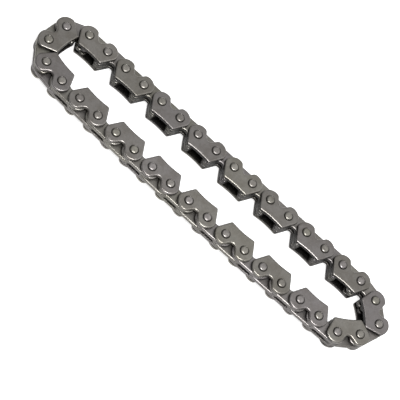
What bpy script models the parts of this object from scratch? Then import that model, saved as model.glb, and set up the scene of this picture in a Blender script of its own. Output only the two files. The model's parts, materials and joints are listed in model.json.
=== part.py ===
"""Endless silent chain (inverted-tooth chain), lying on its side in a long, narrow loop.

The chain has 38 links of quarter-inch pitch, laced two by three. Even links are outer links:
a guide plate on the back and on the front, one toothed plate between them, and two rivet
pins that hold the three together. Odd links are inner links: two toothed plates that turn on
the pins of their neighbours. Link k reaches from pin k to pin k + 1, clockwise from above.

Frame: X along the loop, Y across it, Z up along the pins. The chain rests on its rivet ends
at z = 0, and the origin is under the middle of the loop.
"""

from math import asin, atan2, cos, radians, sin, tan

import bmesh
import bpy
import numpy as np

MM = 0.001

# Chain
PITCH = 6.35 * MM
LINKS = 38
ROOT_LINK = 10
CLOSING_LINK = 30

# Stack along the pins, from the back to the front
HEAD_HEIGHT = 0.35 * MM
GUIDE_THICKNESS = 1.00 * MM
TOOTHED_THICKNESS = 1.05 * MM
PLATE_GAP = 0.10 * MM

# Outline that all plates share: round ends about the pins, and flanks down to the teeth
END_RADIUS = 2.90 * MM
TIP_X = 3.75 * MM
TIP_Y = -3.98 * MM

# Guide plate: a notch between its two humps, and a slightly hollow inner edge
GUIDE_CHAMFER = 0.40 * MM
HUMP_SWEEP = 115
NOTCH_FOOT = (0.82 * MM, 0.86 * MM)
NOTCH_BOTTOM = (0.42 * MM, 0.62 * MM)
HOLLOW_DEPTH = 0.32 * MM

# Toothed plate: a straight back, and a round crotch between its two teeth
TOOTHED_CHAMFER = 0.60 * MM
BACK_Y = 2.80 * MM
CROTCH_TOP_Y = -0.89 * MM
CROTCH_RADIUS = 1.40 * MM
CROTCH_WALL_ANGLE = 25

# Rivet pins and the holes that turn on them; the radii are those of the corners
PIN_RADIUS = 1.00 * MM
HEAD_RADIUS = 1.17 * MM
PRESSED_HOLE_RADIUS = 1.05 * MM
TURNING_HOLE_RADIUS = 1.13 * MM
OPEN_PIVOT_HOLE_RADIUS = 1.30 * MM
HEAD_ROOT = 0.30 * MM
HEAD_CLEARANCE = 0.05 * MM
PIN_SIDES = 8
HEAD_SIDES = 10

# Turn of the chain at each pin, in degrees clockwise. The two ends are set pin by pin. Along
# each run every pin turns by the same small bow, which the closing of the loop decides.
LEFT_END = {36: 8, 37: 45, 38: 42, 1: 58, 2: 25}
RIGHT_END = {17: 13, 18: 33, 19: 66, 20: 31, 21: 36, 22: 0}
UPPER_RUN = range(3, 17)
LOWER_RUN = range(23, 36)
TRIMMED_PIN = 38

# Finish: base colour, roughness and metallic value
GUIDE_STEEL = ((0.20, 0.19, 0.175, 1.0), 0.42, 1.0)
TOOTHED_STEEL = ((0.26, 0.25, 0.24, 1.0), 0.38, 1.0)
PIN_STEEL = ((0.24, 0.23, 0.215, 1.0), 0.35, 1.0)


# ---------------------------------------------------------------- shape of the loop

def pin_turns(upper_bow, lower_bow, trimmed_turn):
    """Turn at each pin in degrees, listed from pin 1."""
    turns = {**LEFT_END, **RIGHT_END, TRIMMED_PIN: trimmed_turn}
    turns.update({pin: upper_bow for pin in UPPER_RUN})
    turns.update({pin: lower_bow for pin in LOWER_RUN})
    return np.array([turns[pin] for pin in range(1, LINKS + 1)], dtype=float)


def headings(turns):
    """Heading of each link in radians, with link 1 along +X."""
    return -np.radians(np.cumsum(turns) - turns[0])


def closing_error(unknowns):
    """What keeps the loop from closing: a turn, and the distance between its two ends."""
    turns = pin_turns(*unknowns)
    heading = headings(turns)
    return np.array([radians(turns.sum() - 360), np.cos(heading).sum(), np.sin(heading).sum()])


def closed_turns():
    """Turns at the pins of the closed loop, by Newton's method on the three unknowns."""
    unknowns = np.array([0.0, 0.0, float(LEFT_END[TRIMMED_PIN])])
    step = 1e-4
    for _ in range(12):
        error = closing_error(unknowns)
        slopes = [(closing_error(unknowns + step * axis) - error) / step for axis in np.eye(3)]
        unknowns -= np.linalg.solve(np.array(slopes).T, error)
    return pin_turns(*unknowns)


def loop_layout():
    """Pin positions and link headings, turned so that the loop lies along X."""
    heading = headings(closed_turns())
    steps = PITCH * np.stack([np.cos(heading), np.sin(heading)], axis=1)
    pins = np.concatenate([[(0.0, 0.0)], np.cumsum(steps, axis=0)[:-1]])
    spread = np.cov(pins.T)
    tilt = 0.5 * atan2(2 * spread[0, 1], spread[0, 0] - spread[1, 1])
    if pins[len(UPPER_RUN), 0] * cos(tilt) + pins[len(UPPER_RUN), 1] * sin(tilt) < 0:
        tilt += radians(180)
    turned = np.array([[cos(tilt), sin(tilt)], [-sin(tilt), cos(tilt)]])
    return pins @ turned.T, heading - tilt


def centred(pins, heading):
    """The pins moved so that the middle of the whole loop's box is at x = 0, y = 0."""
    corners = []
    for link in range(LINKS):
        outline = guide_outline() if link % 2 else toothed_outline()
        middle = (pins[link] + pins[(link + 1) % LINKS]) / 2
        across = np.array([-sin(heading[link]), cos(heading[link])])
        along = np.array([cos(heading[link]), sin(heading[link])])
        corners += [middle + x * along + y * across for x, y in outline]
    return pins - (np.min(corners, axis=0) + np.max(corners, axis=0)) / 2


# ---------------------------------------------------------------- outlines, link-centred

def arc(centre, radius, start, end, segments):
    """Points along an arc, with its angles in degrees."""
    angles = np.radians(np.linspace(start, end, segments + 1))
    return [(centre[0] + radius * cos(a), centre[1] + radius * sin(a)) for a in angles]


def both_halves(right_half):
    """A closed outline from its right half, listed from the teeth to the back."""
    return right_half + [(-x, y) for x, y in reversed(right_half) if x > 1e-9]


def tip_and_flank_start(chamfer):
    """The chamfered outer corner of a tooth."""
    shoulder = PITCH / 2 + END_RADIUS
    length = np.hypot(shoulder - TIP_X, TIP_Y)
    flank_x = TIP_X + chamfer * (shoulder - TIP_X) / length
    return [(TIP_X - chamfer, TIP_Y), (flank_x, TIP_Y - chamfer * TIP_Y / length)]


def guide_outline():
    half_chord = TIP_X - GUIDE_CHAMFER
    radius = (half_chord ** 2 + HOLLOW_DEPTH ** 2) / (2 * HOLLOW_DEPTH)
    half_sweep = np.degrees(asin(half_chord / radius))
    hollow_centre = (0, TIP_Y + HOLLOW_DEPTH - radius)
    half = arc(hollow_centre, radius, 90, 90 - half_sweep, 2)[:-1]
    half += tip_and_flank_start(GUIDE_CHAMFER)
    half += arc((PITCH / 2, 0), END_RADIUS, 0, HUMP_SWEEP, 5)
    half += [NOTCH_FOOT, NOTCH_BOTTOM]
    return both_halves(half)


def toothed_outline():
    crotch_centre = (0, CROTCH_TOP_Y - CROTCH_RADIUS)
    half = arc(crotch_centre, CROTCH_RADIUS, 90, CROTCH_WALL_ANGLE, 2)
    wall_x, wall_y = half[-1]
    half.append((wall_x + (wall_y - TIP_Y) * tan(radians(CROTCH_WALL_ANGLE)), TIP_Y))
    half += tip_and_flank_start(TOOTHED_CHAMFER)
    back_angle = np.degrees(asin(BACK_Y / END_RADIUS))
    half += arc((PITCH / 2, 0), END_RADIUS, 0, back_angle, 3)
    return both_halves(half)


def pin_circle(side, radius, sides):
    """Corners of a round about the left (-1) or the right (1) pin."""
    return arc((side * PITCH / 2, 0), radius, 0, 360, sides)[:-1]


# ---------------------------------------------------------------- solids

def add_plate(bm, outline, holes, bottom, thickness):
    """Add a flat plate with holes to bm."""
    edges = []
    for ring in [outline, *holes]:
        verts = [bm.verts.new((x, y, bottom)) for x, y in ring]
        edges += [bm.edges.new(pair) for pair in zip(verts, verts[1:] + verts[:1])]
    filled = bmesh.ops.triangle_fill(bm, edges=edges, use_beauty=True)
    faces = [item for item in filled["geom"] if isinstance(item, bmesh.types.BMFace)]
    raised = bmesh.ops.extrude_face_region(bm, geom=faces)
    verts = [item for item in raised["geom"] if isinstance(item, bmesh.types.BMVert)]
    bmesh.ops.translate(bm, verts=verts, vec=(0, 0, thickness))


def add_pin(bm, side, back_root, front_start):
    """Add a rivet pin to bm: a shaft with a wider head at each end."""
    profile = [
        (0.0, HEAD_RADIUS, HEAD_SIDES),
        (back_root, HEAD_RADIUS, HEAD_SIDES),
        (back_root, PIN_RADIUS, PIN_SIDES),
        (front_start, PIN_RADIUS, PIN_SIDES),
        (front_start, HEAD_RADIUS, HEAD_SIDES),
        (FRONT_END, HEAD_RADIUS, HEAD_SIDES),
    ]
    rings = []
    for height, radius, sides in profile:
        corners = pin_circle(side, radius, sides)
        rings.append([bm.verts.new((x, y, height)) for x, y in corners])
    bm.faces.new(rings[0])
    bm.faces.new(rings[-1])
    for lower, upper in zip(rings, rings[1:]):
        edges = [bm.edges.get(pair) or bm.edges.new(pair)
                 for ring in (lower, upper) for pair in zip(ring, ring[1:] + ring[:1])]
        if len(lower) == len(upper):
            bmesh.ops.bridge_loops(bm, edges=edges)
        else:
            bmesh.ops.triangle_fill(bm, edges=edges, use_beauty=True)


def finished_mesh(bm, name):
    bmesh.ops.recalc_face_normals(bm, faces=bm.faces)
    mesh = bpy.data.meshes.new(name)
    bm.to_mesh(mesh)
    bm.free()
    return mesh


def plate_mesh(name, outline, layer, hole_radii):
    """One plate with a hole at its left and its right pin."""
    bottom, thickness = layer
    holes = [pin_circle(side, radius, PIN_SIDES) for side, radius in zip((-1, 1), hole_radii)]
    bm = bmesh.new()
    add_plate(bm, outline, holes, bottom, thickness)
    return finished_mesh(bm, name)


def riveted_mesh(name, plates, front_start):
    """Plates and the two pins pressed into them, joined into one solid."""
    bm = bmesh.new()
    for outline, (bottom, thickness) in plates:
        add_plate(bm, outline, [], bottom, thickness)
    stack = bpy.data.objects.new(name + "_stack", finished_mesh(bm, name + "_stack"))

    bm = bmesh.new()
    for side in (-1, 1):
        add_pin(bm, side, HEAD_HEIGHT + HEAD_ROOT, front_start)
    pins = bpy.data.objects.new(name + "_pins", finished_mesh(bm, name + "_pins"))

    for helper in (stack, pins):
        bpy.context.collection.objects.link(helper)
    union = stack.modifiers.new("rivet", "BOOLEAN")
    union.operation = "UNION"
    union.solver = "EXACT"
    union.object = pins
    depsgraph = bpy.context.evaluated_depsgraph_get()
    mesh = bpy.data.meshes.new_from_object(stack.evaluated_get(depsgraph))
    mesh.name = name
    for helper in (stack, pins):
        bpy.data.objects.remove(helper, do_unlink=True)
    return mesh


# Layers as (bottom, thickness), from the back guide plate to the front one
BACK_GUIDE = (HEAD_HEIGHT, GUIDE_THICKNESS)
BACK_TOOTHED = (sum(BACK_GUIDE) + PLATE_GAP, TOOTHED_THICKNESS)
MIDDLE_TOOTHED = (sum(BACK_TOOTHED) + PLATE_GAP, TOOTHED_THICKNESS)
FRONT_TOOTHED = (sum(MIDDLE_TOOTHED) + PLATE_GAP, TOOTHED_THICKNESS)
FRONT_GUIDE = (sum(FRONT_TOOTHED) + PLATE_GAP, GUIDE_THICKNESS)
FRONT_END = sum(FRONT_GUIDE) + HEAD_HEIGHT


# ---------------------------------------------------------------- scene

def make_material(name, finish):
    colour, roughness, metallic = finish
    material = bpy.data.materials.new(name)
    material.use_nodes = True
    shader = material.node_tree.nodes["Principled BSDF"]
    shader.inputs["Base Color"].default_value = colour
    shader.inputs["Roughness"].default_value = roughness
    shader.inputs["Metallic"].default_value = metallic
    material.diffuse_color = colour
    return material


def add_pivot(link, pins, heading):
    """An empty on the pin that a link turns about, and the link's middle seen from it.

    The tree of joints runs from the root link both ways round to the closing link, so a link
    past the root turns about its first pin, and a link before it about its second.
    """
    turns_on_first_pin = ROOT_LINK < link < CLOSING_LINK
    pin = link if turns_on_first_pin else link % LINKS + 1
    pivot = bpy.data.objects.new(f"link_{link:02d}_pivot", None)
    pivot.location = (*pins[pin - 1], 0)
    pivot.rotation_euler = (0, 0, heading[link - 1])
    pivot.empty_display_size = 2 * MM
    bpy.context.collection.objects.link(pivot)
    return pivot, PITCH / 2 if turns_on_first_pin else -PITCH / 2


def add_piece(name, mesh, pivot, middle, finish):
    """One sub-part, placed by the pivot of its link, with a material of its own."""
    piece = bpy.data.objects.new(name, mesh)
    bpy.context.collection.objects.link(piece)
    piece.parent = pivot
    piece.location = (middle, 0, 0)
    piece.material_slots[0].link = "OBJECT"
    piece.material_slots[0].material = make_material(name, finish)


def make_meshes():
    """The meshes that the links share."""
    guide = guide_outline()
    toothed = toothed_outline()
    turning = (TURNING_HOLE_RADIUS, TURNING_HOLE_RADIUS)
    pressed = (PRESSED_HOLE_RADIUS, PRESSED_HOLE_RADIUS)
    opened = (TURNING_HOLE_RADIUS, OPEN_PIVOT_HOLE_RADIUS)
    whole_stack = [(guide, BACK_GUIDE), (toothed, MIDDLE_TOOTHED), (guide, FRONT_GUIDE)]
    front_head = FRONT_END - HEAD_HEIGHT
    meshes = {
        "outer": riveted_mesh("outer_link", whole_stack, front_head - HEAD_ROOT),
        "inner_back": plate_mesh("inner_back", toothed, BACK_TOOTHED, turning),
        "inner_front": plate_mesh("inner_front", toothed, FRONT_TOOTHED, turning),
        "opened_back": plate_mesh("opened_back", toothed, BACK_TOOTHED, opened),
        "opened_front": plate_mesh("opened_front", toothed, FRONT_TOOTHED, opened),
        "closing_back": riveted_mesh("closing_back", [(guide, BACK_GUIDE)],
                                     front_head + HEAD_CLEARANCE),
        "closing_middle": plate_mesh("closing_middle", toothed, MIDDLE_TOOTHED, pressed),
        "closing_front": plate_mesh("closing_front", guide, FRONT_GUIDE, pressed),
    }
    for mesh in meshes.values():
        mesh.materials.append(None)
    return meshes


def main():
    for old in list(bpy.data.objects):
        bpy.data.objects.remove(old, do_unlink=True)

    meshes = make_meshes()
    pins, heading = loop_layout()
    pins = centred(pins, heading)
    for link in range(1, LINKS + 1):
        pivot, middle = add_pivot(link, pins, heading)
        if link == CLOSING_LINK:
            pieces = [
                ("closing_link_back_plate_with_pins", "closing_back", PIN_STEEL),
                ("closing_link_toothed_plate", "closing_middle", TOOTHED_STEEL),
                ("closing_link_front_guide_plate", "closing_front", GUIDE_STEEL),
            ]
        elif link % 2 == 0:
            pieces = [(f"outer_link_{link:02d}", "outer", GUIDE_STEEL)]
        else:
            kind = "opened" if link == CLOSING_LINK - 1 else "inner"
            pieces = [
                (f"inner_link_{link:02d}_back_plate", kind + "_back", TOOTHED_STEEL),
                (f"inner_link_{link:02d}_front_plate", kind + "_front", TOOTHED_STEEL),
            ]
        for name, mesh, finish in pieces:
            add_piece(name, meshes[mesh], pivot, middle, finish)


main()
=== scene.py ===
"""Looks of the endless silent chain: each plate and each rivet pin as a piece of its own.

The frame gives where the pins are and how high each layer of plates lies. Every piece is
modelled about its own middle, in the outline that the layer has, with the rounded edges that
stamping and tumbling leave, and is then placed on the link that it belongs to.
"""

import json
from math import asin, atan2, cos, pi, radians, sin, tan

import bmesh
import bpy
import numpy as np
from mathutils import Euler, Matrix, Vector


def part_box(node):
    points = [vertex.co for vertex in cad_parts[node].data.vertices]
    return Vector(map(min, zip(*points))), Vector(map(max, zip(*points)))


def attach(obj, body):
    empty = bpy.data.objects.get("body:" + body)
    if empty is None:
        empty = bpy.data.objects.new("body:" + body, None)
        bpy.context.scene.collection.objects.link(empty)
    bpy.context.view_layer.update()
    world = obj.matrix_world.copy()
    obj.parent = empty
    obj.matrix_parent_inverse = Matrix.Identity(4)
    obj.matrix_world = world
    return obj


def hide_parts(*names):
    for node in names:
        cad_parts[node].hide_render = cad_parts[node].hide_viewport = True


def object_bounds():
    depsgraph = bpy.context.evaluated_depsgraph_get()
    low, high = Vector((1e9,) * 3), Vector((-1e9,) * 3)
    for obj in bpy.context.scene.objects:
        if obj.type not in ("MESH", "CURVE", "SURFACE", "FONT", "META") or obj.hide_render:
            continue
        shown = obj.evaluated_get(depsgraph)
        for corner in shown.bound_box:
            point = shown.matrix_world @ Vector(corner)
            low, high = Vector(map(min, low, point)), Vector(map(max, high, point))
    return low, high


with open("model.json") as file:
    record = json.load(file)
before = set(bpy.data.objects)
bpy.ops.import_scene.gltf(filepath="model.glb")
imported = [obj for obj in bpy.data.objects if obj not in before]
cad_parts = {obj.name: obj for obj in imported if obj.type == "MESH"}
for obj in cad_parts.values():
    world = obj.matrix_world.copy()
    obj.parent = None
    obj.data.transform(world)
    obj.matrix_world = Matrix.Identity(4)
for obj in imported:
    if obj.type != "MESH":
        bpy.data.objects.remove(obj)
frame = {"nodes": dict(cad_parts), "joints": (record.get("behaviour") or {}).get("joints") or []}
cad_low, cad_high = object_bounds()

MM = 0.001

# The loop: its links, the pin where the frame opens it and the closing link starts, the pin that
# leads the motion, and how close two heights are when they count as the same
LINKS = 38
OPEN_PIN = 30
LEADING_PIN = 19
SAME_HEIGHT = 0.01 * MM

# Outline that all plates share: round ends about the pins, and flanks down to the teeth
END_RADIUS = 2.92 * MM
TIP_X = 3.80 * MM
TIP_Y = -4.02 * MM

# Guide plate: a notch between its two humps, and a slightly hollow inner edge
HUMP_SWEEP = 112
HUMP_SEGMENTS = 40
NOTCH_WALL = (1.12 * MM, 1.35 * MM)
NOTCH_BOTTOM = (0.45 * MM, 0.62 * MM)
HOLLOW_DEPTH = 0.32 * MM
HOLLOW_SEGMENTS = 8

# Toothed plate: a straight back that starts a little inward of each pin, and a round crotch
# between the two teeth
BACK_Y = 2.87 * MM
MIDDLE_BACK_Y = 3.08 * MM
BACK_START = 0.6 * MM
SHOULDER_SEGMENTS = 24
CROTCH_TOP_Y = -0.89 * MM
CROTCH_RADIUS = 1.40 * MM
CROTCH_WALL_ANGLE = 25
CROTCH_SEGMENTS = 20

# Finish of the outlines: how far tumbling rounds the corners, how far out that rounding is
# weighed, and the spacing of the points
GUIDE_SOFTENING = 0.30 * MM
TOOTHED_SOFTENING = 0.37 * MM
SOFTENING_REACH = 4
FINE_STEP = 0.05 * MM
LONGEST_STEP = 1.2 * MM
LARGEST_TURN = 7

# Edges of a plate in section: the roll's width, depth and angles, the land under it, the burr of
# the other face with the middle of its rounding as a share of its radius, the flat rim inside
# both, and the angle past which an edge is shaded as sharp
GUIDE_ROLL = (0.42 * MM, 0.24 * MM)
TOOTHED_ROLL = (0.40 * MM, 0.22 * MM)
ROLL_ANGLES = (18, 36, 54, 72, 90)
# The roll angle past which the rubbing and painted highlight are full
FULL_WEAR_AND_HIGHLIGHT_ANGLE = 36
ROLL_LAND = 0.08 * MM
BURR_RADIUS = 0.05 * MM
BURR_MIDDLE = 0.3
FLAT_RIM = 0.04 * MM
SHARP_ANGLE = 50

# Holes: the play about the shaft, the chamfer, and the groove that riveting presses in
SHAFT_RADIUS = 1.00 * MM
PRESSED_GAP = 0.01 * MM
TURNING_GAP = 0.05 * MM
HOLE_CHAMFER = 0.05 * MM
GROOVE_RADIUS = 1.28 * MM
GROOVE_DEPTH = 0.08 * MM
GROOVE_LIP = (0.03 * MM, 0.04 * MM)
GROOVE_FLOOR = 0.06 * MM
ROUND_SIDES = 40

# Rivet head, from its middle to the shaft, as radius and drop below the top in millimetres, and
# the share of rubbed edge and painted highlight: a flat crown, a peened shoulder and a steep side
HEAD_PROFILE = (
    (0.25, 0.001, 0.0), (0.50, 0.006, 0.0), (0.70, 0.015, 0.2), (0.78, 0.028, 0.5),
    (0.86, 0.053, 0.6), (0.93, 0.087, 0.4), (0.99, 0.130, 0.1), (1.05, 0.192, 0.0),
    (1.10, 0.270, 0.0), (1.13, 0.345, 0.0), (1.15, 0.400, 0.0), (1.15, 0.440, 0.0),
    (1.00, 0.455, 0.0),
)

# Colours of the steels, clean and stained, with the clouds that part them, how much lighter a
# rubbed edge is, from rubbing and painted highlight, and in what patches, and the tints that the
# pieces lie between
GUIDE_COLOURS = (0.284, 0.274, 0.262, 1), (0.242, 0.230, 0.214, 1)
TOOTHED_COLOURS = (0.284, 0.275, 0.264, 1), (0.238, 0.227, 0.213, 1)
PIN_COLOURS = (0.375, 0.362, 0.342, 1), (0.312, 0.298, 0.278, 1)
STAIN_EDGE = (0.38, 0.66)
WORN_AND_HIGHLIGHT_GAIN = (1.15, 1.15, 1.15, 1.0)
WORN_HIGHLIGHT_FLECKS = (0.35, 0.6)
WORN_HIGHLIGHT_PATCHES = (0.7, 1.0)
OLIVE_TINT = (1.02, 1.015, 0.935, 1)
MAUVE_TINT = (1.01, 0.98, 1.02, 1)

# Draws: how light a piece is at the left end, what it loses by the right end as painted light,
# how far it strays from that by itself, where it is cut from the noise, and the seed of it all
LEFT_TONE = 0.89
PAINTED_LIGHT_FALL = 0.08
TONE_SPREAD = (0.92, 1.08)
PATTERN_SPREAD = (0, 40)
DRAW_SEED = 38

# Patterns of the steel, as noise scale per metre, detail and roughness. Drawn lines run along a
# plate and torn ones across its thickness, so their scale differs by direction
CLOUDS = (420.0, 3.0, 0.5)
MOTTLE = (1500.0, 2.0, 0.5)
FLECKS = (2600.0, 4.0, 0.65)
GRAIN = (9000.0, 3.0, 0.6)
DRAWN_SCALE = (700.0, 9000.0, 9000.0)
DRAWN_DETAIL = 2.0
TORN_SCALE = (11000.0, 11000.0, 900.0)
TORN_DETAIL = 3.0

# The part of a pattern's values that counts, and how light the steel is at its two ends
PATTERN_MIDDLE = (0.3, 0.7)
MOTTLE_MIDDLE = (0.35, 0.65)
FLECK_LIGHT = (0.90, 1.08)
GRAIN_LIGHT = (0.93, 1.06)
DRAWN_LIGHT = (0.97, 1.03)
TORN_LIGHT = (0.70, 1.30)
MOTTLE_LIGHT = (0.84, 1.12)

# Roughness of the steels, how far flecks move it, and what walls add and worn edges lose
GUIDE_ROUGHNESS = 0.36
TOOTHED_ROUGHNESS = 0.38
PIN_ROUGHNESS = 0.36
FLECK_ROUGHNESS = (-0.05, 0.07)
WALL_ROUGHNESS = 0.18
WORN_POLISH = 0.08

# Walls: the upright part of the normal, from a full wall to a flat face, and how light a wall
# is, which is painted light and shade: painted shade at the teeth and at the ends of a plate,
# lighter at the back, and painted light from the floor low down
WALL_TO_FACE = (0.25, 0.6)
TOOTH_TO_BACK = (-1.5 * MM, 2.0 * MM)
GUIDE_TOOTH_PAINTED_SHADE = 0.14
OTHER_TOOTH_PAINTED_SHADE = 0.38
BACK_PAINTED_LIGHT = 0.75
FLOOR_REACH = (0.45 * MM, 1.40 * MM)
PAINTED_FLOOR_LIGHT = 0.70
WALL_END = (3.9 * MM, 4.9 * MM)
WALL_END_PAINTED_SHADE = 0.35

# Painted shade on the faces inside the stack and in the crotch, and a ring of oil and painted
# shade round each pin
INNER_FACE = (1.79 * MM, 1.95 * MM)
INNER_FACE_PAINTED_SHADE = 0.33
CROTCH_HALF_WIDTH = (2.6 * MM, 3.1 * MM)
CROTCH_HEIGHT = (-0.4 * MM, 0.4 * MM)
CROTCH_PAINTED_SHADE = 0.35
OIL_ON_PIN = (0.98 * MM, 1.12 * MM)
OIL_AND_SHADE_ON_PIN = 0.45
OIL_ON_PLATE = (1.20 * MM, 1.42 * MM)
OIL_AND_SHADE_ON_PLATE = 0.50
OIL_WANDER = 0.05 * MM

# Relief of the surface: the share of each pattern, and the bump that they make
GRAIN_RELIEF = 0.35
FLECK_RELIEF = 0.5
TORN_RELIEF = 1.2
BUMP_STRENGTH = 0.35
BUMP_HEIGHT = 0.02 * MM

# Camera, as an azimuth, an elevation and a roll about the point that it looks at
CAMERA_AIM = (0.0002, -0.0045, 0.0030)
CAMERA_DISTANCE = 0.3762
CAMERA_AZIMUTH = -2.72
CAMERA_ELEVATION = 62.32
CAMERA_ROLL = 44.70
CAMERA_LENS = 131.24
SENSOR_WIDTH = 36
CLIP_RANGE = (0.01, 20)

# Studio: the side from which it is brightest, the cosines to that side between which its light
# grows, how strong it is at both, and a floor of white paper just below the chain
BRIGHT_SIDE = (0.505, 0.303, 0.808)
DARK_TO_BRIGHT = (-0.3, 0.8)
STUDIO_STRENGTH = (0.18, 0.50)
FLOOR_SIZE = 3.0
FLOOR_GAP = 0.02 * MM
PAPER_WHITE = (0.86, 0.86, 0.86, 1)
PAPER_ROUGHNESS = 0.9
PAPER_SHEEN = 0.1
PAPER_GLOW = 0.70


# ---------------------------------------------------------------- places, from the frame

def pin_positions():
    """Where each pin stands, as a 2-D vector. The open pin has no joint: its link says where."""
    pins = {}
    for joint in frame["joints"]:
        number = LEADING_PIN if joint["name"] == "loop_opens" else int(joint["name"][-2:])
        pins[number] = np.array(joint["pos_m"][:2])
    closing = frame["nodes"]["closing_link_back_plate_with_pins"]
    ends = [v.co[:2] for v in closing.data.vertices if v.co.z < cad_low.z + SAME_HEIGHT]
    pins[OPEN_PIN] = 2 * np.mean(ends, axis=0) - pins[OPEN_PIN + 1]
    return pins


def layer(node):
    """Heights between which a node lies."""
    low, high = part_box(node)
    return low.z, high.z


def mirrored_layer(heights):
    """The same layer on the other side of the chain's middle plane."""
    return cad_high.z + cad_low.z - heights[1], cad_high.z + cad_low.z - heights[0]


PINS = pin_positions()
PITCH = float(np.linalg.norm(PINS[2] - PINS[1]))
FRONT_GUIDE = layer("closing_link_front_guide_plate")
FRONT_TOOTHED = layer("inner_link_01_front_plate")
MIDDLE_TOOTHED = layer("closing_link_toothed_plate")
BACK_TOOTHED = layer("inner_link_01_back_plate")
BACK_GUIDE = mirrored_layer(FRONT_GUIDE)
STACK_MIDDLE = sum(MIDDLE_TOOTHED) / 2


# ---------------------------------------------------------------- outlines, link-centred

def arc(centre, radius, start, end, segments):
    """Points along an arc, with its angles in degrees."""
    angles = np.radians(np.linspace(start, end, segments + 1))
    return [(centre[0] + radius * cos(a), centre[1] + radius * sin(a)) for a in angles]


def both_halves(right_half):
    """A closed outline from its right half, listed from the teeth to the back."""
    return right_half + [(-x, y) for x, y in reversed(right_half) if x > 1e-6 * MM]


def guide_outline():
    """Outline of a guide plate, with its hollow inner edge as one flat arc."""
    radius = (TIP_X ** 2 + HOLLOW_DEPTH ** 2) / (2 * HOLLOW_DEPTH)
    half_sweep = np.degrees(asin(TIP_X / radius))
    hollow_centre = (0, TIP_Y + HOLLOW_DEPTH - radius)
    half = arc(hollow_centre, radius, 90, 90 - half_sweep, HOLLOW_SEGMENTS)
    half += arc((PITCH / 2, 0), END_RADIUS, 0, HUMP_SWEEP, HUMP_SEGMENTS)
    half += [NOTCH_WALL, NOTCH_BOTTOM]
    return both_halves(half)


def toothed_outline(back_y):
    """Outline of a toothed plate whose straight back is at back_y."""
    crotch_centre = (0, CROTCH_TOP_Y - CROTCH_RADIUS)
    half = arc(crotch_centre, CROTCH_RADIUS, 90, CROTCH_WALL_ANGLE, CROTCH_SEGMENTS)
    wall_x, wall_y = half[-1]
    half.append((wall_x + (wall_y - TIP_Y) * tan(radians(CROTCH_WALL_ANGLE)), TIP_Y))
    half.append((TIP_X, TIP_Y))
    shoulder_angle = np.degrees(asin(BACK_Y / END_RADIUS))
    half += arc((PITCH / 2, 0), END_RADIUS, 0, shoulder_angle, SHOULDER_SEGMENTS)
    half.append((PITCH / 2 - BACK_START, back_y))
    return both_halves(half)


def softened(outline, softening):
    """The outline with its corners rounded, as an even row of closely spaced points."""
    points = np.array(outline + outline[:1])
    along = np.concatenate([[0], np.cumsum(np.linalg.norm(np.diff(points, axis=0), axis=1))])
    count = int(along[-1] / FINE_STEP)
    at = np.arange(count) * along[-1] / count
    even = np.stack([np.interp(at, along, points[:, axis]) for axis in (0, 1)], axis=1)
    reach = int(SOFTENING_REACH * softening / FINE_STEP)
    offsets = np.arange(-reach, reach + 1)
    weights = np.exp(-0.5 * (offsets * FINE_STEP / softening) ** 2)
    weights /= weights.sum()
    return sum(w * np.roll(even, o, axis=0) for w, o in zip(weights, offsets))


def outward(points):
    """Unit normals that point out of a counterclockwise outline."""
    along = np.roll(points, -1, axis=0) - np.roll(points, 1, axis=0)
    along /= np.linalg.norm(along, axis=1)[:, None]
    return np.stack([along[:, 1], -along[:, 0]], axis=1)


def thinned(points):
    """The points that the shape needs, with the normals there: more of them where it turns."""
    normals = outward(points)
    kept = [0]
    for i in range(1, len(points)):
        turned = np.degrees(np.arccos(np.clip(normals[i] @ normals[kept[-1]], -1, 1)))
        gone = (i - kept[-1]) * FINE_STEP
        if turned > LARGEST_TURN or gone > LONGEST_STEP:
            kept.append(i)
    return points[kept], normals[kept]


# ---------------------------------------------------------------- meshes

def rounded_section(roll, low, high):
    """Inset, height and share of rubbed edge and painted highlight of each ring of a plate's
    edge, from the rolled face down.
    """
    width, depth = roll
    rings = [(width + FLAT_RIM, high, 0.0), (width, high, 0.0)]
    for angle in ROLL_ANGLES:
        a = radians(angle)
        wear_and_highlight = min(1.0, angle / FULL_WEAR_AND_HIGHLIGHT_ANGLE)
        rings.append((width * (1 - sin(a)), high - depth * (1 - cos(a)), wear_and_highlight))
    rings.append((0, high - depth - ROLL_LAND, 0.0))
    rings.append((0, low + BURR_RADIUS, 0.0))
    rings.append((BURR_RADIUS * BURR_MIDDLE, low + BURR_RADIUS * BURR_MIDDLE, 0.0))
    rings.append((BURR_RADIUS, low, 0.0))
    rings.append((BURR_RADIUS + FLAT_RIM, low, 0.0))
    return rings


def hole_section(shaft_gap, grooved, low, high):
    """Radius and height of each ring of a hole's wall, from the rolled face down."""
    wall = SHAFT_RADIUS + shaft_gap
    if grooved:
        lip_width, lip_depth = GROOVE_LIP
        upper = [(GROOVE_RADIUS, high), (GROOVE_RADIUS - lip_width, high - lip_depth),
                 (wall + GROOVE_FLOOR, high - GROOVE_DEPTH), (wall, high - GROOVE_DEPTH)]
    else:
        upper = [(wall + HOLE_CHAMFER, high), (wall, high - HOLE_CHAMFER)]
    return upper + [(wall, low + HOLE_CHAMFER), (wall + HOLE_CHAMFER, low)]


def join_rings(bm, rings):
    """Quads between closed rings of vertices that follow one another."""
    for ring, following in zip(rings, rings[1:]):
        for i in range(len(ring)):
            j = (i + 1) % len(ring)
            bm.faces.new((ring[i], ring[j], following[j], following[i]))


def fill_between(bm, rings):
    """One flat face between an outline and its holes."""
    edges = [bm.edges.get((ring[i - 1], ring[i])) for ring in rings for i in range(len(ring))]
    bmesh.ops.triangle_fill(bm, edges=edges, use_beauty=True)


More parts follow.
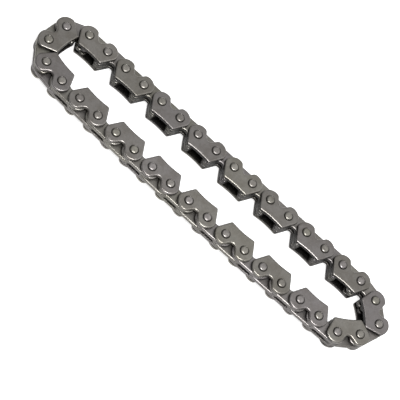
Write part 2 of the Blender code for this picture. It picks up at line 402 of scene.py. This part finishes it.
def finished_mesh(bm, name, edge_values):
    """The mesh of bm, with each vertex's share of rubbed edge and painted highlight kept as the
    attribute edge.
    """
    bmesh.ops.recalc_face_normals(bm, faces=bm.faces)
    bm.verts.index_update()
    worn_highlight = np.zeros(len(bm.verts), np.float32)
    for vert, value in edge_values.items():
        worn_highlight[vert.index] = value
    mesh = bpy.data.meshes.new(name)
    bm.to_mesh(mesh)
    bm.free()
    mesh.attributes.new("edge", "FLOAT", "POINT").data.foreach_set("value", worn_highlight)
    mesh.shade_smooth()
    mesh.set_sharp_from_angle(angle=radians(SHARP_ANGLE))
    return mesh


def plate_mesh(name, outline, heights, roll, shaft_gap, grooved=False, flipped=False):
    """A stamped plate. Its rolled edge is on top, or underneath if it is flipped."""
    low, high = heights
    points, normals = thinned(outline)
    bm = bmesh.new()
    edge_values = {}

    def ring_at(flat, z, value):
        height = low + high - z if flipped else z
        ring = [bm.verts.new((x, y, height)) for x, y in flat]
        edge_values.update({vert: value for vert in ring})
        return ring

    outer = [ring_at(points - inset * normals, z, value)
             for inset, z, value in rounded_section(roll, low, high)]
    join_rings(bm, outer)
    holes = []
    for side in (-1, 1):
        rings = []
        for radius, z in hole_section(shaft_gap, grooved, low, high):
            circle = arc((side * PITCH / 2, 0), radius, 0, 360, ROUND_SIDES)[:-1]
            rings.append(ring_at(circle, z, 0.0))
        join_rings(bm, rings)
        holes.append(rings)
    fill_between(bm, [outer[0], holes[0][0], holes[1][0]])
    fill_between(bm, [outer[-1], holes[0][-1], holes[1][-1]])
    return finished_mesh(bm, name, edge_values)


def pin_mesh(name):
    """A rivet pin about its own axis, with the same peened head at each end."""
    top = cad_high.z
    bm = bmesh.new()
    edge_values = {}

    def ring_at(radius, z, value):
        circle = arc((0, 0), radius, 0, 360, ROUND_SIDES)[:-1]
        ring = [bm.verts.new((x, y, z)) for x, y in circle]
        edge_values.update({vert: value for vert in ring})
        return ring

    front = [(radius * MM, top - drop * MM, wear_and_highlight) for radius, drop, wear_and_highlight in HEAD_PROFILE]
    back = [(radius, top + cad_low.z - z, wear_and_highlight) for radius, z, wear_and_highlight in reversed(front)]
    rings = [ring_at(*section) for section in front + back]
    join_rings(bm, rings)
    for ring in (rings[0], rings[-1]):
        centre = bm.verts.new((0, 0, ring[0].co.z))
        edge_values[centre] = 0.0
        for i in range(len(ring)):
            bm.faces.new((ring[i - 1], ring[i], centre))
    return finished_mesh(bm, name, edge_values)


# ---------------------------------------------------------------- steel

class Nodes:
    """A short way to add and join the nodes of one material."""

    def __init__(self, tree):
        self.tree = tree

    def add(self, kind, **settings):
        node = self.tree.nodes.new(kind)
        for name, value in settings.items():
            setattr(node, name, value)
        return node

    def feed(self, socket, value):
        if isinstance(value, bpy.types.NodeSocket):
            self.tree.links.new(value, socket)
        else:
            socket.default_value = value

    def math(self, operation, a, b=0.0):
        node = self.add("ShaderNodeMath", operation=operation)
        self.feed(node.inputs[0], a)
        self.feed(node.inputs[1], b)
        return node.outputs[0]

    def product(self, *factors):
        result = factors[0]
        for factor in factors[1:]:
            result = self.math("MULTIPLY", result, factor)
        return result

    def ranged(self, value, low, high, to_low, to_high, smooth=False):
        node = self.add("ShaderNodeMapRange")
        if smooth:
            node.interpolation_type = "SMOOTHSTEP"
        for socket, number in zip(node.inputs, (value, low, high, to_low, to_high)):
            self.feed(socket, number)
        return node.outputs[0]

    def noise(self, vector, scale, detail, seed, roughness=0.5):
        node = self.add("ShaderNodeTexNoise", noise_dimensions="4D")
        self.feed(node.inputs["Vector"], vector)
        self.feed(node.inputs["W"], seed)
        self.feed(node.inputs["Scale"], scale)
        self.feed(node.inputs["Detail"], detail)
        self.feed(node.inputs["Roughness"], roughness)
        return node.outputs["Fac"]

    def stretched(self, vector, factors):
        node = self.add("ShaderNodeVectorMath", operation="MULTIPLY")
        self.feed(node.inputs[0], vector)
        self.feed(node.inputs[1], factors)
        return node.outputs[0]

    def parted(self, vector):
        node = self.add("ShaderNodeSeparateXYZ")
        self.feed(node.inputs[0], vector)
        return node.outputs["X"], node.outputs["Y"], node.outputs["Z"]

    def attribute(self, name):
        return self.add("ShaderNodeAttribute", attribute_name=name).outputs["Fac"]

    def mixed(self, factor, a, b, blend="MIX"):
        node = self.add("ShaderNodeMix", data_type="RGBA", blend_type=blend)
        self.feed(node.inputs["Factor"], factor)
        self.feed(node.inputs["A"], a)
        self.feed(node.inputs["B"], b)
        return node.outputs["Result"]

    def grey(self, value):
        node = self.add("ShaderNodeCombineColor")
        for socket in node.inputs:
            self.feed(socket, value)
        return node.outputs[0]


class SteelNodes(Nodes):
    """The nodes of one steel, with the patterns and places that its parts are made of."""

    def __init__(self, tree):
        super().__init__(tree)
        place = self.add("ShaderNodeTexCoord")
        self.where = place.outputs["Object"]
        self.x, self.y, self.z = self.parted(self.where)
        self.sideways = self.math("ABSOLUTE", self.x)
        upright = self.math("ABSOLUTE", self.parted(place.outputs["Normal"])[2])
        self.wall = self.ranged(upright, *WALL_TO_FACE, 1.0, 0.0)
        self.seed = self.attribute("seed")
        self.flecks = self.pattern(FLECKS)
        self.grain = self.pattern(GRAIN)
        self.torn = self.stretched_pattern(TORN_SCALE, TORN_DETAIL)

    def pattern(self, kind):
        scale, detail, roughness = kind
        return self.noise(self.where, scale, detail, self.seed, roughness)

    def stretched_pattern(self, scale, detail):
        return self.noise(self.stretched(self.where, scale), 1.0, detail, self.seed)

    def spread(self, pattern, low, high):
        """A pattern whose middle values run from low to high."""
        return self.ranged(pattern, *PATTERN_MIDDLE, low, high)


def texture_light(n):
    """Flecks, grain and drawn lines of the rolled sheet."""
    drawn = n.stretched_pattern(DRAWN_SCALE, DRAWN_DETAIL)
    return n.product(n.spread(n.flecks, *FLECK_LIGHT), n.spread(n.grain, *GRAIN_LIGHT),
                     n.spread(drawn, *DRAWN_LIGHT))


def wall_streaks_and_painted_light(n, tooth_painted_shade, on_pin):
    """Walls: torn in streaks, with the painted shade and painted light that the constants for
    walls give. Flat faces stay as is.
    """
    # Painted shade towards the teeth, painted light at the back and from the floor low down
    painted_wall_light = n.math("ADD", n.ranged(n.y, *TOOTH_TO_BACK, tooth_painted_shade, BACK_PAINTED_LIGHT),
                 n.ranged(n.z, *FLOOR_REACH, PAINTED_FLOOR_LIGHT, 0.0))
    streaks = n.product(n.spread(n.torn, *TORN_LIGHT), painted_wall_light)
    if not on_pin:
        # Painted shade on the walls at the ends of a plate
        streaks = n.product(streaks, n.ranged(n.sideways, *WALL_END, 1.0, WALL_END_PAINTED_SHADE, True))
    return n.ranged(n.wall, 0.0, 1.0, 1.0, streaks)


def painted_shade_and_mottle(n, painted_shade_part):
    """Painted shade on the faces inside the stack or on the crotch, and a mottled surface on a
    pin.
    """
    if painted_shade_part == "inner faces":
        # Painted shade on the faces close to the middle of the stack
        from_middle = n.math("ABSOLUTE", n.math("SUBTRACT", n.z, STACK_MIDDLE))
        return n.ranged(from_middle, *INNER_FACE, INNER_FACE_PAINTED_SHADE, 1.0, True)
    if painted_shade_part == "crotch":
        # Painted shade on the walls of the crotch between the teeth
        within = n.ranged(n.sideways, *CROTCH_HALF_WIDTH, 1.0, 0.0, True)
        below = n.ranged(n.y, *CROTCH_HEIGHT, 1.0, 0.0, True)
        crotch = n.product(n.wall, n.product(within, below))
        return n.ranged(crotch, 0.0, 1.0, 1.0, CROTCH_PAINTED_SHADE)
    return n.ranged(n.pattern(MOTTLE), *MOTTLE_MIDDLE, *MOTTLE_LIGHT)


def oil_and_painted_shade_ring(n, on_pin):
    """The dark ring round each pin, on the plate and on the side of the head: oil and painted
    shade.
    """
    across = n.x if on_pin else n.math("SUBTRACT", n.sideways, PITCH / 2)
    reach = n.math("SQRT", n.math("ADD", n.product(across, across), n.product(n.y, n.y)))
    reach = n.math("ADD", reach, n.spread(n.flecks, -OIL_WANDER, OIL_WANDER))
    # Oil and painted shade, on the side of the head or round its foot on the plate
    if on_pin:
        return n.ranged(reach, *OIL_ON_PIN, 1.0, OIL_AND_SHADE_ON_PIN, True)
    return n.ranged(reach, *OIL_ON_PLATE, OIL_AND_SHADE_ON_PLATE, 1.0, True)


def relief(n):
    """The bump of grain and flecks everywhere, and of the torn streaks on walls."""
    height = n.math("ADD", n.product(n.grain, GRAIN_RELIEF), n.product(n.flecks, FLECK_RELIEF))
    height = n.math("ADD", height, n.product(n.torn, n.wall, TORN_RELIEF))
    bump = n.add("ShaderNodeBump")
    n.feed(bump.inputs["Strength"], BUMP_STRENGTH)
    n.feed(bump.inputs["Distance"], BUMP_HEIGHT)
    n.feed(bump.inputs["Height"], height)
    return bump.outputs[0]


def steel(name, colours, roughness, painted_shade_part=None):
    """Tumbled bare steel: mottled, finely grained, torn on its walls, lighter at its edges from
    rubbing and painted highlight, with painted shade on its walls.

    A plate's part with painted shade is the inner faces or the crotch. A pin has none.
    """
    on_pin = painted_shade_part is None
    # Painted shade on the walls at the teeth, deeper on guide plates
    tooth_painted_shade = GUIDE_TOOTH_PAINTED_SHADE if painted_shade_part == "inner faces" else OTHER_TOOTH_PAINTED_SHADE
    material = bpy.data.materials.new(name)
    material.use_nodes = True
    shader = material.node_tree.nodes["Principled BSDF"]
    n = SteelNodes(material.node_tree)

    light = n.product(texture_light(n), wall_streaks_and_painted_light(n, tooth_painted_shade, on_pin), painted_shade_and_mottle(n, painted_shade_part),
                      n.attribute("tone"), oil_and_painted_shade_ring(n, on_pin))
    stained = n.ranged(n.pattern(CLOUDS), *STAIN_EDGE, 0.0, 1.0, True)
    body = n.mixed(stained, *colours)
    body = n.mixed(1.0, body, n.grey(light), "MULTIPLY")
    tint = n.mixed(n.attribute("tint"), OLIVE_TINT, MAUVE_TINT)
    body = n.mixed(1.0, body, tint, "MULTIPLY")
    # Rubbed edges, lighter from real rubbing and painted highlight
    bright = n.mixed(1.0, body, WORN_AND_HIGHLIGHT_GAIN, "MULTIPLY")
    worn_highlight = n.product(n.attribute("edge"), n.ranged(n.flecks, *WORN_HIGHLIGHT_FLECKS, *WORN_HIGHLIGHT_PATCHES))
    n.feed(shader.inputs["Base Color"], n.mixed(worn_highlight, body, bright))

    smoothest, roughest = (roughness + change for change in FLECK_ROUGHNESS)
    rough = n.spread(n.flecks, smoothest, roughest)
    rough = n.math("ADD", rough, n.ranged(n.wall, 0.0, 1.0, 0.0, WALL_ROUGHNESS))
    rough = n.math("SUBTRACT", rough, n.product(worn_highlight, WORN_POLISH))
    n.feed(shader.inputs["Roughness"], rough)
    n.feed(shader.inputs["Metallic"], 1.0)
    n.feed(shader.inputs["Normal"], relief(n))
    return material


# ---------------------------------------------------------------- assembly

def tone_with_painted_light(x, draw):
    """How light a piece is: a little darker towards the right, which is painted light, and each
    piece a little apart.
    """
    share = (x - cad_low.x) / (cad_high.x - cad_low.x)
    return (LEFT_TONE - PAINTED_LIGHT_FALL * share) * draw.uniform(*TONE_SPREAD)


def add_piece(name, mesh, place, body, node, material, draw):
    """One piece, placed in the row frame, with its own tone (holding painted light along the
    chain), tint and cut of the pattern.
    """
    own = mesh.copy()
    own.name = name
    values = {
        "tone": tone_with_painted_light(place.translation.x, draw),
        "seed": draw.uniform(*PATTERN_SPREAD),
        "tint": draw.uniform(0, 1),
    }
    for attribute, value in values.items():
        data = own.attributes.new(attribute, "FLOAT", "POINT").data
        data.foreach_set("value", np.full(len(own.vertices), value, np.float32))
    own.materials.append(material)
    piece = bpy.data.objects.new(name, own)
    bpy.context.scene.collection.objects.link(piece)
    piece.matrix_world = place
    even = piece.modifiers.new("even_normals", "WEIGHTED_NORMAL")
    even.keep_sharp = True
    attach(piece, body)
    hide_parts(node)


def after(number):
    """The next link or pin round the loop."""
    return number % LINKS + 1


def link_place(link):
    """Where a link's middle is and which way it points."""
    start, end = PINS[link], PINS[after(link)]
    along = end - start
    middle = (start + end) / 2
    turn = Matrix.Rotation(atan2(along[1], along[0]), 4, "Z")
    return Matrix.Translation((*middle, 0)) @ turn


def pin_place(pin, draw):
    """Where a pin stands, turned about its axis at random."""
    turn = Matrix.Rotation(draw.uniform(0, 2 * pi), 4, "Z")
    return Matrix.Translation((*PINS[pin], 0)) @ turn


def add_outer_link(link, meshes, materials, draw):
    """Two guide plates, the toothed plate between them and two pins, all on one body."""
    body = f"link_{link:02d}"
    front_node = middle_node = back_node = f"outer_link_{link:02d}"
    if link == OPEN_PIN:
        front_node = "closing_link_front_guide_plate"
        middle_node = "closing_link_toothed_plate"
        back_node = "closing_link_back_plate_with_pins"
    place = link_place(link)
    for part, node, slot in (
        ("front_guide", front_node, "guide_plate_steel"),
        ("middle_toothed", middle_node, "toothed_plate_steel"),
        ("back_guide", back_node, "guide_plate_steel"),
    ):
        add_piece(f"{body}_{part}_plate", meshes[part], place, body, node,
                  materials[slot], draw)
    for pin in (link, after(link)):
        add_piece(f"rivet_pin_{pin:02d}", meshes["pin"], pin_place(pin, draw), body, back_node,
                  materials["pin_steel"], draw)


def add_inner_link(link, meshes, materials, draw):
    """Two toothed plates on one body."""
    body = f"link_{link:02d}"
    for part in ("front", "back"):
        add_piece(f"{body}_{part}_toothed_plate", meshes[part + "_toothed"], link_place(link),
                  body, f"inner_link_{link:02d}_{part}_plate",
                  materials["toothed_plate_steel"], draw)


def chain_meshes():
    """The meshes that the pieces are copies of."""
    guide = softened(guide_outline(), GUIDE_SOFTENING)
    toothed = softened(toothed_outline(BACK_Y), TOOTHED_SOFTENING)
    middle = softened(toothed_outline(MIDDLE_BACK_Y), TOOTHED_SOFTENING)
    return {
        "front_guide": plate_mesh("front_guide", guide, FRONT_GUIDE, GUIDE_ROLL,
                                  PRESSED_GAP, grooved=True),
        "back_guide": plate_mesh("back_guide", guide, BACK_GUIDE, GUIDE_ROLL,
                                 PRESSED_GAP, grooved=True, flipped=True),
        "middle_toothed": plate_mesh("middle_toothed", middle, MIDDLE_TOOTHED, TOOTHED_ROLL,
                                     TURNING_GAP),
        "front_toothed": plate_mesh("front_toothed", toothed, FRONT_TOOTHED, TOOTHED_ROLL,
                                    TURNING_GAP),
        "back_toothed": plate_mesh("back_toothed", toothed, BACK_TOOTHED, TOOTHED_ROLL,
                                   TURNING_GAP, flipped=True),
        "pin": pin_mesh("pin"),
    }


def build_chain():
    meshes = chain_meshes()
    materials = {
        "guide_plate_steel": steel("guide_plate_steel", GUIDE_COLOURS, GUIDE_ROUGHNESS,
                                   "inner faces"),
        "toothed_plate_steel": steel("toothed_plate_steel", TOOTHED_COLOURS, TOOTHED_ROUGHNESS,
                                     "crotch"),
        "pin_steel": steel("pin_steel", PIN_COLOURS, PIN_ROUGHNESS),
    }
    draw = np.random.default_rng(DRAW_SEED)
    for link in range(1, LINKS + 1):
        add = add_inner_link if link % 2 else add_outer_link
        add(link, meshes, materials, draw)


# ---------------------------------------------------------------- studio

def add_floor():
    """White paper that glows a little, so that it burns out to plain white."""
    bm = bmesh.new()
    bmesh.ops.create_grid(bm, x_segments=2, y_segments=2, size=FLOOR_SIZE)
    mesh = bpy.data.meshes.new("floor")
    bm.to_mesh(mesh)
    bm.free()
    floor = bpy.data.objects.new("floor", mesh)
    floor.location = (0, 0, cad_low.z - FLOOR_GAP)
    bpy.context.scene.collection.objects.link(floor)
    paper = bpy.data.materials.new("floor_paper")
    paper.use_nodes = True
    shader = paper.node_tree.nodes["Principled BSDF"]
    shader.inputs["Base Color"].default_value = PAPER_WHITE
    shader.inputs["Roughness"].default_value = PAPER_ROUGHNESS
    shader.inputs["Specular IOR Level"].default_value = PAPER_SHEEN
    shader.inputs["Emission Color"].default_value = (1, 1, 1, 1)
    shader.inputs["Emission Strength"].default_value = PAPER_GLOW
    mesh.materials.append(paper)


def add_softbox(name, direction, distance, size, power):
    """A large soft lamp that faces the middle of the chain."""
    lamp = bpy.data.lights.new(name, "AREA")
    lamp.shape = "RECTANGLE"
    lamp.size, lamp.size_y = size
    lamp.energy = power
    holder = bpy.data.objects.new(name, lamp)
    towards = Vector(direction).normalized()
    holder.location = towards * distance
    holder.rotation_mode = "QUATERNION"
    holder.rotation_quaternion = towards.to_track_quat("Z", "Y")
    bpy.context.scene.collection.objects.link(holder)


def add_studio_light():
    """A surrounding glow that grows from the dark side to the bright side."""
    world = bpy.data.worlds.new("studio")
    world.use_nodes = True
    background = world.node_tree.nodes["Background"]
    background.inputs["Color"].default_value = (1, 1, 1, 1)
    n = Nodes(world.node_tree)
    slope = n.add("ShaderNodeVectorMath", operation="DOT_PRODUCT")
    n.feed(slope.inputs[0], n.add("ShaderNodeTexCoord").outputs["Generated"])
    n.feed(slope.inputs[1], BRIGHT_SIDE)
    strength = n.ranged(slope.outputs["Value"], *DARK_TO_BRIGHT, *STUDIO_STRENGTH, True)
    n.feed(background.inputs["Strength"], strength)
    bpy.context.scene.world = world


def add_lights():
    add_studio_light()
    add_softbox("key_softbox", direction=(0.08, -0.12, 0.47), distance=0.49,
                size=(0.18, 0.18), power=1.55)
    add_softbox("back_softbox", direction=(0.60, 0.55, 0.90), distance=0.9,
                size=(0.6, 0.6), power=0.4)
    add_softbox("sky_softbox", direction=(0.05, 0.70, 1.0), distance=1.1,
                size=(1.2, 1.0), power=0.8)


def add_camera():
    azimuth, elevation = radians(CAMERA_AZIMUTH), radians(CAMERA_ELEVATION)
    back = Vector((sin(azimuth) * cos(elevation), -cos(azimuth) * cos(elevation), sin(elevation)))
    lens = bpy.data.cameras.new("camera")
    lens.lens = CAMERA_LENS
    lens.sensor_width = SENSOR_WIDTH
    lens.clip_start, lens.clip_end = CLIP_RANGE
    camera = bpy.data.objects.new("camera", lens)
    camera.location = Vector(CAMERA_AIM) + back * CAMERA_DISTANCE
    upright = back.to_track_quat("Z", "Y")
    roll = Euler((0, 0, radians(CAMERA_ROLL))).to_quaternion()
    camera.rotation_mode = "QUATERNION"
    camera.rotation_quaternion = upright @ roll
    bpy.context.scene.collection.objects.link(camera)
    bpy.context.scene.camera = camera


build_chain()
add_floor()
add_lights()
add_camera()
bpy.context.scene.view_settings.view_transform = "Standard"
